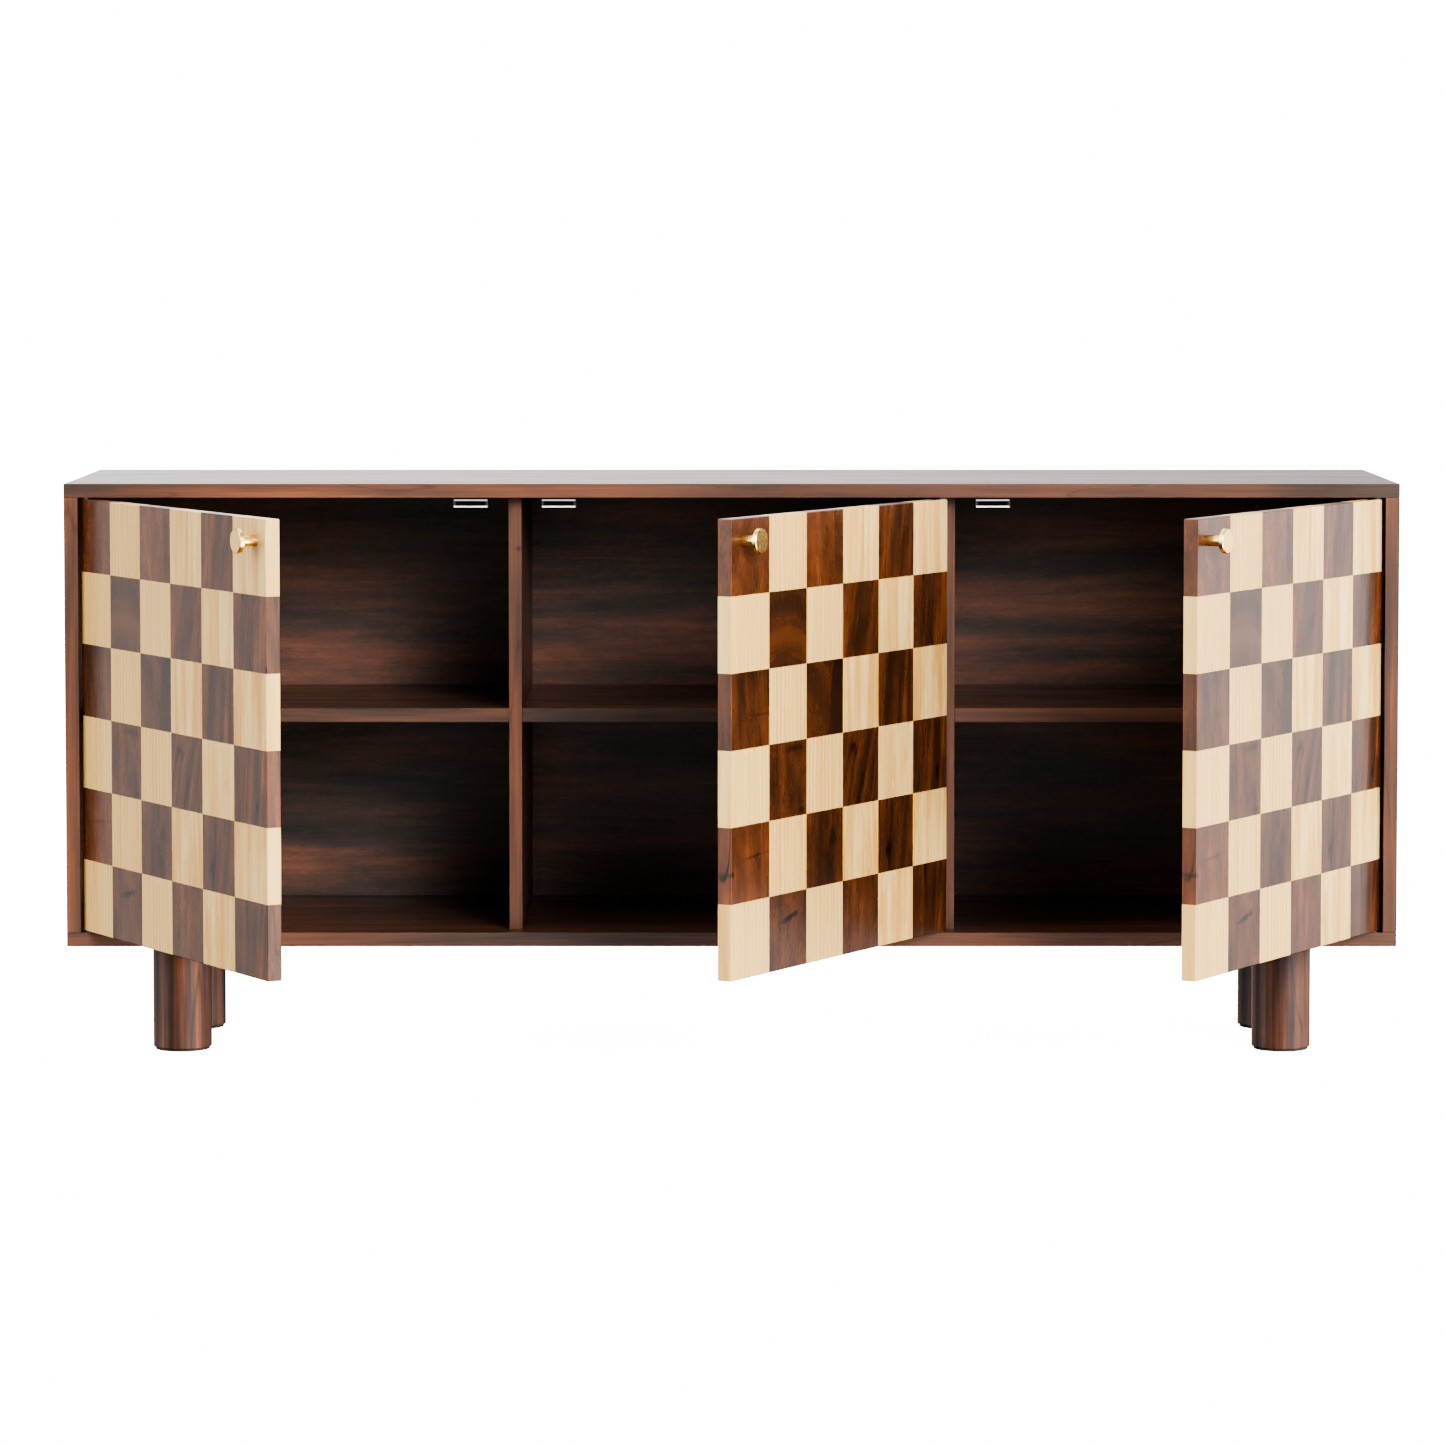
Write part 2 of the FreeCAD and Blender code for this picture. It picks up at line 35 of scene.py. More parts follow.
CAMERA_PITCH = math.radians(3.72)
CAMERA_LENS = 135.9
CAMERA_SENSOR = 36.0
CAMERA_SHIFT = (-0.0069, -0.10)
CAMERA_REACH = 200.0

# Doors: rest angle, number of blocks along a side, the gaps around them, how far a pivot is from its door's
# edge, and whether a door reaches to the right or to the left of its pivot
REST_ANGLE = math.radians(60)
CHECKS = 6
DOOR_GAP = 0.003
PIVOT_INSET = 0.008
DOORS = {"left": 1, "middle": -1, "right": -1}

# Linear colours of the woods, from the darkest streaks to the lightest, each with its place on a ramp
CASE_TONES = [(0.18, (0.0130, 0.0100, 0.0088)), (0.40, (0.0400, 0.0200, 0.0132)),
              (0.60, (0.0860, 0.0330, 0.0170)), (0.84, (0.1700, 0.0580, 0.0240))]
BACK_TONES = [(0.18, (0.0110, 0.0092, 0.0088)), (0.40, (0.0400, 0.0235, 0.0180)),
              (0.60, (0.0900, 0.0380, 0.0245)), (0.84, (0.1600, 0.0600, 0.0350))]
# Legs: the walnut's own streaks, made darker than the carcass's as painted shade for the shade under the
# carcass and doors
SHADED_LEG_TONES = [(0.20, (0.0065, 0.0044, 0.0036)), (0.38, (0.0300, 0.0122, 0.0070)),
             (0.56, (0.0720, 0.0235, 0.0100)), (0.84, (0.1450, 0.0450, 0.0150))]
DARK_TONES = [(0.18, (0.0165, 0.0076, 0.0042)), (0.38, (0.0360, 0.0145, 0.0070)),
              (0.60, (0.0790, 0.0272, 0.0108)), (0.84, (0.1540, 0.0510, 0.0180))]
PALE_TONES = [(0.20, (0.380, 0.210, 0.066)), (0.50, (0.430, 0.275, 0.102)), (0.78, (0.465, 0.330, 0.150))]
BEECH_TONES = [(0.25, (0.42, 0.27, 0.15)), (0.50, (0.56, 0.39, 0.24)), (0.75, (0.66, 0.49, 0.32))]
VEIN = (0.0060, 0.0030, 0.0018)

# Linear colours of everything else
BRASS = (0.80, 0.53, 0.22)
ZINC = (0.62, 0.62, 0.63)
BRIGHT_STEEL = (0.86, 0.86, 0.87)
BLACK_STEEL = (0.055, 0.048, 0.044)
BROWN_PLASTIC = (0.022, 0.010, 0.008)
FERRITE = (0.0050, 0.0032, 0.0028)
RUBBER = (0.012, 0.010, 0.009)
PAPER = (0.92, 0.92, 0.92)
PAPER_SHADE = (0.88, 0.88, 0.88)

# Soft lights around the unit: azimuth from the camera's side to the right, elevation and half width, in
# degrees, and radiance at the middle. Most radiances started from a least-squares fit to measured colours, and
# were then scaled, rounded and changed.
STUDIO = [
    ("key_high", 22, 24, 7, 44.0), ("key_low", 28, 17, 7, 44.0), ("key_front", 17, 14, 8, 8.0),
    ("left_wall", -80, 12, 16, 9.2), ("left_front", -55, 10, 12, 2.5), ("left_fill", -30, 12, 9, 3.6),
    ("left_high", -50, 48, 14, 6.0), ("right_wall", 80, 12, 14, 13.3), ("right_floor", 50, -25, 14, 14.0),
    ("front_floor", 0, -25, 14, 2.4), ("left_back", -125, -3, 11, 1.15), ("left_rear", -145, 0, 12, 0.5),
    ("right_side", 108, -3, 11, 1.0), ("right_back", 122, 3, 10, 3.7), ("rear_wall", -172, 3, 12, 2.2),
    ("ceiling", 0, 85, 20, 3.0), ("rear_high", 180, 48, 24, 2.6),
]
BACKDROP = 8.0
FLOOR_GLOW = 4.0
FLOOR_HALF_WIDTH = 40.0

# Wood figure of the carcass: features a metre across the grain, features a metre along it, and their weight
BOARD_FIGURE = [(11.0, 1.6, 0.66), (46.0, 2.4, 0.46), (105.0, 3.2, 0.42), (200.0, 7.0, 0.18),
                (34.0, 6.0, 0.26)]
BACK_FIGURE = [(15.0, 2.0, 1.15), (38.0, 3.0, 0.45), (90.0, 24.0, 0.18), (420.0, 120.0, 0.22)]
LEG_FIGURE = [(24.0, 2.6, 0.30), (95.0, 2.6, 1.15), (230.0, 5.0, 0.45), (30.0, 16.0, 0.22)]
FIGURE_NOISE = (3.0, 0.5, 0.35)
SEED_STEP = (3.1, 1.7, 5.3)
BOARD_ROUGHNESS = 0.48
BOARD_SPECULAR = 0.25
BOARD_COAT = 0.32
BOARD_COAT_ROUGHNESS = 0.20
LEG_COAT = 0.14
BLOCK_ROUGHNESS = 0.26

# Streaks: features a metre across the grain and along it, then the noise's detail, roughness and distortion
BOARD_RINGS = (15.0, 1.3, 2.0, 0.5, 0.5)
FIBRES = (650.0, 9.0, 2.0, 0.6)
PORES = (1500.0, 90.0, 1.0)
GLOSS = (40.0, 6.0, 3.0)
PALE_DRIFT = (16.0, 1.4)
PALE_PRESENCE = (55.0, 1.5, 1.0)
PALE_FLAMES = (46.0, 4.2, 2.5, 0.55, 1.0)
PALE_HAIR = (330.0, 3.0)
DARK_BANDS = (30.0, 3.2, 2.0, 0.5, 0.5)
DARK_STREAKS = (120.0, 5.0, 1.5, 0.45, 0.3)
DARK_CLOUD = (34.0, 16.0, 4.0, 0.6, 0.3)
DARK_SPECKLE = (260.0, 110.0, 3.0, 0.7)
DARK_HAIR = (330.0, 8.0, 1.0, 0.5)
DARK_RINGS = (19.0, 1.9, 2.0, 0.5, 0.4)
DARK_WARP = (26.0, 18.0)
VEIN_BREAKS = (20.0, 12.0)

# Pores open up over this range of their noise. Fibres stand out by this share of a pore's depth.
PORE_RANGE = (0.64, 0.74)
FIBRE_RELIEF = 0.35
RELIEF_DEPTH = 0.0003

# Level and width of the contours that make the thin dark veins
BOARD_VEIN = (0.43, 0.012)
BLOCK_VEINS = ((0.46, 0.014), (0.56, 0.010))

# Growth lines of the pale blocks: how many a metre, and how far they drift, counted in lines
LINES_PER_METRE = 105.0
LINE_DRIFT = 2.4

# How far the tone of a pale block may be from the others', and how far apart the blocks' boards are taken from
PALE_VARIATION = 0.06
BOARD_SPREAD = (9.0, 9.0, 9.0)

# Dark blocks in rows from the top of a door, three in each row: lean of the grain to the right, tone,
# weight of the thin black veins, weight of fine mottling, and share of the block that a darker strip takes
DARK_BLOCKS = [
    [(0.00, 0.05, 0.0, 1.0, 0.00), (0.00, 0.13, 0.0, 1.0, 0.25), (0.16, 0.02, 0.5, 0.2, 0.00)],
    [(0.00, -0.10, 0.0, 0.5, 0.00), (0.26, -0.01, 0.6, 0.1, 0.00), (0.13, 0.00, 1.0, 0.1, 0.00)],
    [(-0.12, -0.01, 0.2, 0.2, 0.00), (0.10, -0.03, 0.0, 0.5, 0.34), (0.04, 0.01, 0.2, 0.3, 0.00)],
    [(-0.03, 0.00, 0.0, 0.8, 0.00), (0.30, 0.00, 0.7, 0.2, 0.00), (0.11, 0.01, 1.0, 0.1, 0.00)],
    [(-0.06, 0.04, 0.0, 0.5, 0.00), (0.03, -0.02, 0.2, 0.5, 0.00), (0.13, -0.03, 1.0, 0.2, 0.00)],
    [(0.05, -0.01, 0.0, 0.8, 0.00), (0.10, 0.00, 0.2, 0.6, 0.00), (0.09, 0.00, 1.0, 0.2, 0.00)],
]
# Blocks whose grain forms arches: column and row from the lower left, and the middle of the arches in blocks
ARCHED_BLOCKS = [(1, 4, 0.42, -0.45), (2, 3, -0.35, -0.05)]
ARCH_WARP = 0.25
ARCH_SIZE = 0.045
ARCH_DRAW = 0.6

# Smudges: column and row of the block, place in it from its lower left, half width and half height in blocks,
# slope and strength
KNOTS = [
    (1, 0, 0.52, 0.66, 0.30, 0.045, 0.20, 1.0), (1, 0, 0.62, 0.70, 0.14, 0.030, 0.30, 0.8),
    (1, 2, 0.68, 0.90, 0.24, 0.050, 0.00, 0.8), (1, 2, 0.85, 0.07, 0.10, 0.040, 0.00, 0.7),
    (0, 1, 0.60, 0.58, 0.38, 0.025, 0.08, 0.7), (0, 1, 0.03, 0.38, 0.07, 0.040, 0.00, 0.8),
    (0, 3, 0.70, 0.42, 0.35, 0.018, 0.00, 0.4), (2, 1, 0.72, 0.62, 0.10, 0.150, 0.00, 0.7),
    (2, 1, 0.55, 0.85, 0.07, 0.200, 0.00, 0.4), (3, 0, 0.45, 0.40, 0.05, 0.400, 0.00, 0.25),
]
KNOT_EDGE = 1.8
KNOT_SHARE = 0.75

# A strip takes its grain from another place in the board, and is darker.
STRIP_SHIFT = 0.37
STRIP_TONE = -0.13

# The small knot near the top of the left divider's front edge
PIN_KNOT_RADIUS = 0.004
PIN_KNOT_DROP = 0.070


class Graph:
    """Short calls for the shader nodes of one material or world."""

    def __init__(self, tree):
        self.tree = tree
        self.links = tree.links

    def node(self, kind, **settings):
        """A new shader node with its settings."""
        made = self.tree.nodes.new("ShaderNode" + kind)
        for key, value in settings.items():
            setattr(made, key, value)
        return made

    def feed(self, socket, value):
        """Link another node's output to a socket, or set the socket to a constant."""
        if isinstance(value, bpy.types.NodeSocket):
            self.links.new(value, socket)
        elif socket.type == "RGBA" and len(value) == 3:
            socket.default_value = (*value, 1)
        else:
            socket.default_value = value

    def math(self, operation, first, second=0.0, third=None):
        """Result of a sum on numbers."""
        made = self.node("Math", operation=operation)
        self.feed(made.inputs[0], first)
        self.feed(made.inputs[1], second)
        if third is not None:
            self.feed(made.inputs[2], third)
        return made.outputs[0]

    def length(self, first, second):
        """Square root of the sum of two squares."""
        squares = self.math("MULTIPLY_ADD", first, first, self.math("MULTIPLY", second, second))
        return self.math("SQRT", squares)

    def vector_math(self, operation, first, second, third=None):
        """Result of a sum on vectors."""
        made = self.node("VectorMath", operation=operation)
        self.feed(made.inputs[0], first)
        self.feed(made.inputs[1], second)
        if third is not None:
            self.feed(made.inputs[2], third)
        return made.outputs[0]

    def object_coordinates(self):
        """Place on a piece at rest, in metres."""
        return self.node("TexCoord").outputs["Object"]

    def turned_back(self, vector, location, angle):
        """Coordinates measured from a place, in axes turned about Z by an angle."""
        made = self.node("Mapping", vector_type="TEXTURE")
        self.feed(made.inputs["Vector"], vector)
        made.inputs["Location"].default_value = location
        made.inputs["Rotation"].default_value = (0, 0, angle)
        return made.outputs[0]

    def split(self, vector):
        """The three parts of a vector."""
        made = self.node("SeparateXYZ")
        self.feed(made.inputs[0], vector)
        return made.outputs[0], made.outputs[1], made.outputs[2]

    def join(self, x, y, z):
        """A vector made of three parts."""
        made = self.node("CombineXYZ")
        for socket, value in zip(made.inputs, (x, y, z)):
            self.feed(socket, value)
        return made.outputs[0]

    def noise(self, vector, scale, detail=2.0, roughness=0.5, distortion=0.0):
        """Noise between nothing and one."""
        made = self.node("TexNoise")
        self.feed(made.inputs["Vector"], vector)
        made.inputs["Scale"].default_value = scale
        made.inputs["Detail"].default_value = detail
        made.inputs["Roughness"].default_value = roughness
        made.inputs["Distortion"].default_value = distortion
        return made.outputs["Fac"]

    def random(self, vector):
        """Random value and random colour at a place."""
        made = self.node("TexWhiteNoise", noise_dimensions="3D")
        self.feed(made.inputs["Vector"], vector)
        return made.outputs["Value"], made.outputs["Color"]

    def remap(self, value, low, high, new_low=0.0, new_high=1.0):
        """Smooth step from one number to another while a value goes from low to high."""
        made = self.node("MapRange", interpolation_type="SMOOTHSTEP")
        self.feed(made.inputs["Value"], value)
        made.inputs["From Min"].default_value = low
        made.inputs["From Max"].default_value = high
        made.inputs["To Min"].default_value = new_low
        made.inputs["To Max"].default_value = new_high
        return made.outputs["Result"]

    def mix(self, share, first, second, blend="MIX"):
        """Two colours blended by a share."""
        made = self.node("Mix", data_type="RGBA", blend_type=blend)
        self.feed(made.inputs["Factor"], share)
        self.feed(made.inputs[6], first)
        self.feed(made.inputs[7], second)
        return made.outputs[2]

    def ramp_node(self, value, stops):
        """A colour ramp's node, with a colour at each stop."""
        made = self.node("ValToRGB")
        self.feed(made.inputs["Fac"], value)
        elements = made.color_ramp.elements
        while len(elements) < len(stops):
            elements.new(0.5)
        for element, (place, colour) in zip(elements, stops):
            element.position = place
            element.color = (*colour, 1)
        return made

    def ramp(self, value, stops):
        """Colour that a ramp gives for a value."""
        return self.ramp_node(value, stops).outputs["Color"]

    def bump(self, height, strength, distance):
        """Normal of a surface that a height raises."""
        made = self.node("Bump")
        made.inputs["Strength"].default_value = strength
        made.inputs["Distance"].default_value = distance
        self.feed(made.inputs["Height"], height)
        return made.outputs["Normal"]


def new_material(name, roughness, metallic=0.0, coat=0.0, coat_roughness=0.1, specular=0.5):
    """A material with its constant values on the shader's own sockets."""
    material = bpy.data.materials.new(name)
    material.use_nodes = True
    graph = Graph(material.node_tree)
    shader = material.node_tree.nodes["Principled BSDF"]
    shader.inputs["Roughness"].default_value = roughness
    shader.inputs["Metallic"].default_value = metallic
    shader.inputs["Coat Weight"].default_value = coat
    shader.inputs["Coat Roughness"].default_value = coat_roughness
    shader.inputs["Specular IOR Level"].default_value = specular
    return material, graph, shader


def along_grain(graph, vector, axis):
    """Coordinates with the grain as the third one."""
    x, y, z = graph.split(vector)
    return graph.join(z, y, x) if axis == "X" else graph.join(x, y, z)


def stretched(graph, vector, stretch):
    """Coordinates squeezed along the grain, so that a pattern on them is drawn out."""
    return graph.vector_math("MULTIPLY", vector, (1, 1, stretch))


def streaks(graph, grain, across, along, detail=2.0, roughness=0.5, distortion=0.0):
    """Noise with so many features a metre across the grain and along it."""
    return graph.noise(stretched(graph, grain, along / across), across, detail, roughness, distortion)


def blend_tones(graph, parts):
    """Sum of noises about their middle, each with its own weight, centred on a half."""
    total = 0.5
    for value, weight in parts:
        centred = graph.math("SUBTRACT", value, 0.5)
        total = graph.math("MULTIPLY_ADD", centred, weight, total)
    return total


def contour(graph, value, level, width):
    """One along the line where a value crosses a level, falling to nothing a little way from it."""
    distance = graph.math("ABSOLUTE", graph.math("SUBTRACT", value, level))
    return graph.remap(distance, 0.0, width, 1.0, 0.0)


def wood_finish(graph, shader, grain, colour, depth, relief_strength):
    """Fine fibres and pores over a wood colour, with the bump and sheen that they give."""
    fibres = streaks(graph, grain, *FIBRES)
    pores = streaks(graph, grain, *PORES)
    shade = graph.remap(fibres, 0.25, 0.75, 1.0 - depth, 1.0 + depth)
    shade = graph.math("MULTIPLY", shade, graph.remap(pores, *PORE_RANGE, 1.0, 1.0 - depth))
    tinted = graph.mix(1.0, colour, graph.join(shade, shade, shade), "MULTIPLY")
    graph.feed(shader.inputs["Base Color"], tinted)
    hollows = graph.math("MULTIPLY", graph.remap(pores, *PORE_RANGE), -1.0)
    relief = graph.math("MULTIPLY_ADD", fibres, FIBRE_RELIEF, hollows)
    graph.feed(shader.inputs["Normal"], graph.bump(relief, relief_strength, RELIEF_DEPTH))
    base = shader.inputs["Roughness"].default_value
    gloss = streaks(graph, grain, *GLOSS)
    graph.feed(shader.inputs["Roughness"], graph.remap(gloss, 0.2, 0.8, base * 0.88, base * 1.15))


def panel_wood(name, axis, tones=CASE_TONES, seed=0.0, figure=BOARD_FIGURE, vein=0.30, coat=BOARD_COAT,
               knot=None):
    """Satin lacquered wood for one carcass piece, with its grain along an axis and perhaps a small knot."""
    material, graph, shader = new_material(name, BOARD_ROUGHNESS, coat=coat,
                                           coat_roughness=BOARD_COAT_ROUGHNESS, specular=BOARD_SPECULAR)
    grain = along_grain(graph, graph.object_coordinates(), axis)
    grain = graph.vector_math("ADD", grain, tuple(seed * step for step in SEED_STEP))
    parts = []
    for across, along, weight in figure:
        parts.append((streaks(graph, grain, across, along, *FIGURE_NOISE), weight))
    colour = graph.ramp(blend_tones(graph, parts), tones)
    lines = contour(graph, streaks(graph, grain, *BOARD_RINGS), *BOARD_VEIN)
    colour = graph.mix(graph.math("MULTIPLY", lines, vein), colour, VEIN)
    if knot:
        colour = pin_knot(graph, colour, knot)
    wood_finish(graph, shader, grain, colour, depth=0.12, relief_strength=0.08)
    return material


def pin_knot(graph, colour, centre):
    """A small soft dark knot around a point."""
    x, y, z = graph.split(graph.vector_math("SUBTRACT", graph.object_coordinates(), centre))
    distance = graph.length(y, graph.length(x, z))
    share = graph.remap(distance, PIN_KNOT_RADIUS * 0.3, PIN_KNOT_RADIUS * 1.3, 0.7, 0.0)
    return graph.mix(share, colour, VEIN)


def door_coordinates(graph, door):
    """Place on a door, measured from its lower left corner when closed, and the block's column and row."""
    low, _, pivot = door_measures(door)
    inward = DOORS[door]
    local = graph.turned_back(graph.object_coordinates(), (pivot.x, pivot.y, low.z), -inward * REST_ANGLE)
    width, height = door_size(door)
    left = -PIVOT_INSET if inward > 0 else PIVOT_INSET - width
    local = graph.vector_math("SUBTRACT", local, (left, 0, 0))
    x, _, z = graph.split(local)
    column = graph.math("FLOOR", graph.math("DIVIDE", x, width / CHECKS))
    row = graph.math("FLOOR", graph.math("DIVIDE", z, height / CHECKS))
    return local, column, row


def door_measures(door):
    """Lowest and highest corner of a door's blocks, and its pivot."""
    dark_low, dark_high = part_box(door + "_door_dark_blocks")
    light_low, light_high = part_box(door + "_door_light_blocks")
    low = Vector(map(min, dark_low, light_low))
    high = Vector(map(max, dark_high, light_high))
    joint = next(joint for joint in frame["joints"] if joint["child"] == door + "_door")
    return low, high, Vector(joint["pos_m"])


def door_size(door):
    """Width and height of a door, from the carcass and the gaps around the doors."""
    low, high, _ = door_measures(door)
    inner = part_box("right_side_panel")[0].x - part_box("left_side_panel")[1].x
    count = len(DOORS)
    return (inner - (count + 1) * DOOR_GAP) / count, high.z - low.z


def block_wood(name, door, pale):
    """Lacquered wood for the blocks of one door: each block is cut from another board."""
    material, graph, shader = new_material(name, BLOCK_ROUGHNESS, specular=0.2 if pale else 0.38)
    place, column, row = door_coordinates(graph, door)
    value, colours = graph.random(graph.join(column, row, 0.5))
    grain = graph.vector_math("MULTIPLY_ADD", colours, BOARD_SPREAD, place)
    if pale:
        colour = pale_colour(graph, grain, value, column)
    else:
        colour = dark_colour(graph, grain, place, column, row, door_size(door))
    wood_finish(graph, shader, grain, colour, depth=0.03 if pale else 0.06, relief_strength=0.02)
    return material


def pale_colour(graph, grain, value, column):
    """Pale wood: even growth lines on the left half of a door, broad peach flames on the right half."""
    x, _, _ = graph.split(grain)
    drift = graph.math("MULTIPLY", streaks(graph, grain, *PALE_DRIFT), LINE_DRIFT)
    turns = graph.math("MULTIPLY_ADD", x, LINES_PER_METRE, drift)
    wave = graph.math("SINE", graph.math("MULTIPLY", turns, 2 * math.pi))
    wave = graph.math("SUBTRACT", graph.remap(wave, -0.8, 1.0), 0.5)
    presence = graph.remap(streaks(graph, grain, *PALE_PRESENCE), 0.35, 0.62, 0.15, 1.0)
    growth = graph.math("MULTIPLY_ADD", wave, presence, 0.5)
    flames = streaks(graph, grain, *PALE_FLAMES)
    hair = streaks(graph, grain, *PALE_HAIR)
    lined = blend_tones(graph, [(growth, 0.38), (flames, 0.45), (hair, 0.22)])
    flamed = blend_tones(graph, [(growth, 0.10), (flames, 1.90), (hair, 0.20)])
    right_half = graph.math("GREATER_THAN", column, CHECKS / 2 - 0.5)
    tone = blend_numbers(graph, right_half, lined, flamed)
    tone = graph.math("ADD", tone, graph.remap(value, 0.0, 1.0, -PALE_VARIATION, PALE_VARIATION))
    return graph.ramp(tone, PALE_TONES)


def dark_colour(graph, grain, place, column, row, size):
    """Dark wood: leaning streaks, thin black veins, mottling, arches, darker strips and smudges."""
    lean, shift, veins, mottling, strip = block_traits(graph, column, row)
    x, _, z = graph.split(place)
    across = graph.math("FRACT", graph.math("DIVIDE", x, size[0] / CHECKS))
    up = graph.math("FRACT", graph.math("DIVIDE", z, size[1] / CHECKS))
    darker = strip_mask(graph, across, up, lean, strip)
    grain = block_grain(graph, grain, column, row, across, up, lean, darker)
    tone = graph.math("ADD", dark_tone(graph, grain, mottling), shift)
    tone = graph.math("MULTIPLY_ADD", darker, STRIP_TONE, tone)
    colour = graph.mix(black_veins(graph, grain, veins), graph.ramp(tone, DARK_TONES), VEIN)
    return graph.mix(knots(graph, place, size), colour, VEIN)


def block_grain(graph, grain, column, row, across, up, lean, darker):
    """Grain coordinates of the dark blocks, leaning in most of them and bent into arches in some."""
    x, y, z = graph.split(grain)
    leaning = graph.math("MULTIPLY_ADD", z, graph.math("MULTIPLY", lean, -1.0), x)
    leaning = graph.math("MULTIPLY_ADD", darker, STRIP_SHIFT, leaning)
    grain = graph.join(leaning, y, z)
    warp = streaks(graph, grain, *DARK_WARP)
    drawn = graph.math("MULTIPLY", z, ARCH_DRAW)
    for arch_column, arch_row, eye_across, eye_up in ARCHED_BLOCKS:
        ring = graph.length(graph.math("SUBTRACT", across, eye_across), graph.math("SUBTRACT", up, eye_up))
        ring = graph.math("MULTIPLY_ADD", warp, ARCH_WARP, ring)
        ring = graph.math("MULTIPLY_ADD", darker, STRIP_SHIFT, graph.math("MULTIPLY", ring, ARCH_SIZE))
        here = block_mask(graph, column, row, arch_column, arch_row)
        grain = blend_vectors(graph, here, grain, graph.join(ring, y, drawn))
    return grain


def dark_tone(graph, grain, mottling):
    """Tone of the dark wood, between plain streaks and fine mottling."""
    bands = streaks(graph, grain, *DARK_BANDS)
    medium = streaks(graph, grain, *DARK_STREAKS)
    cloud = streaks(graph, grain, *DARK_CLOUD)
    speckle = streaks(graph, grain, *DARK_SPECKLE)
    hair = streaks(graph, grain, *DARK_HAIR)
    streaked = blend_tones(graph, [(bands, 1.00), (medium, 0.46), (hair, 0.08), (cloud, 0.34)])
    mottled = blend_tones(graph, [(cloud, 0.65), (speckle, 0.40), (bands, 0.25)])
    return blend_numbers(graph, mottling, streaked, mottled)


def black_veins(graph, grain, veins):
    """Weight of the thin black veins, which are strong in some places and faint in others."""
    rings = streaks(graph, grain, *DARK_RINGS)
    first, second = [contour(graph, rings, level, width) for level, width in BLOCK_VEINS]
    lines = graph.math("MAXIMUM", first, second)
    breaks = graph.remap(streaks(graph, grain, *VEIN_BREAKS), 0.35, 0.6, 0.25, 0.95)
    return graph.math("MULTIPLY", graph.math("MULTIPLY", lines, breaks), veins)


def block_traits(graph, column, row):
    """The five traits of the dark block at a column and row, read from two stepped ramps."""
    rank = graph.math("FLOOR", graph.math("DIVIDE", column, 2.0))
    from_top = graph.math("SUBTRACT", CHECKS - 1, row)
    number = graph.math("MULTIPLY_ADD", from_top, CHECKS // 2, rank)
    blocks = [block for line in DARK_BLOCKS for block in line]
    place = graph.math("DIVIDE", graph.math("ADD", number, 0.5), len(blocks))
    first = [(0.5 + lean, 0.5 + tone, veins) for lean, tone, veins, _, _ in blocks]
    second = [(mottling, strip, 0.0) for _, _, _, mottling, strip in blocks]
    lean, tone, veins = stepped(graph, place, first)
    mottling, strip, _ = stepped(graph, place, second)
    lean = graph.math("SUBTRACT", lean, 0.5)
    tone = graph.math("SUBTRACT", tone, 0.5)
    return lean, tone, veins, mottling, strip


def stepped(graph, place, values):
    """Three numbers looked up from a list by a place between nothing and one."""
    made = graph.ramp_node(place, [(number / len(values), value) for number, value in enumerate(values)])
    made.color_ramp.interpolation = "CONSTANT"
    split = graph.node("SeparateColor")
    graph.feed(split.inputs[0], made.outputs["Color"])
    return split.outputs[0], split.outputs[1], split.outputs[2]


def strip_mask(graph, across, up, lean, strip):
    """One on a strip along the right edge of a block, with a crisp leaning edge."""
    start = graph.math("SUBTRACT", 1.0, strip)
    edge = graph.math("MULTIPLY_ADD", graph.math("SUBTRACT", up, 0.5), lean, start)
    inside = graph.remap(graph.math("SUBTRACT", across, edge), -0.01, 0.02)
    return graph.math("MULTIPLY", inside, graph.math("GREATER_THAN", strip, 0.01))


def blend_numbers(graph, share, first, second):
    """First number where the share is nothing, second where it is one."""
    return graph.math("MULTIPLY_ADD", share, graph.math("SUBTRACT", second, first), first)


def blend_vectors(graph, share, first, second):
    """First vector where the share is nothing, second where it is one."""
    made = graph.node("Mix", data_type="VECTOR")
    graph.feed(made.inputs["Factor"], share)
    graph.feed(made.inputs[4], first)
    graph.feed(made.inputs[5], second)
    return made.outputs[1]


def block_mask(graph, column, row, wanted_column, wanted_row):
    """One on the block at a column and row and nothing elsewhere."""
    in_column = graph.math("COMPARE", column, wanted_column, 0.1)
    in_row = graph.math("COMPARE", row, wanted_row, 0.1)
    return graph.math("MULTIPLY", in_column, in_row)


def knots(graph, place, size):
    """Weight of the soft dark smudges with ragged edges."""
    ragged = graph.math("SUBTRACT", graph.noise(place, 95.0, 4.0, 0.65), 0.5)
    x, _, z = graph.split(place)
    total = 0.0
    for column, row, across, up, half_width, half_height, slope, strength in KNOTS:
        aside = graph.math("SUBTRACT", graph.math("DIVIDE", x, size[0] / CHECKS), column + across)
        above = graph.math("SUBTRACT", graph.math("DIVIDE", z, size[1] / CHECKS), row + up)
        above = graph.math("MULTIPLY_ADD", aside, -slope, above)
        aside = graph.math("DIVIDE", aside, half_width)
        above = graph.math("DIVIDE", above, half_height)
        distance = graph.math("MULTIPLY_ADD", ragged, KNOT_EDGE, graph.length(aside, above))
        total = graph.math("ADD", total, graph.remap(distance, 0.25, 1.25, strength * KNOT_SHARE, 0.0))
    return total


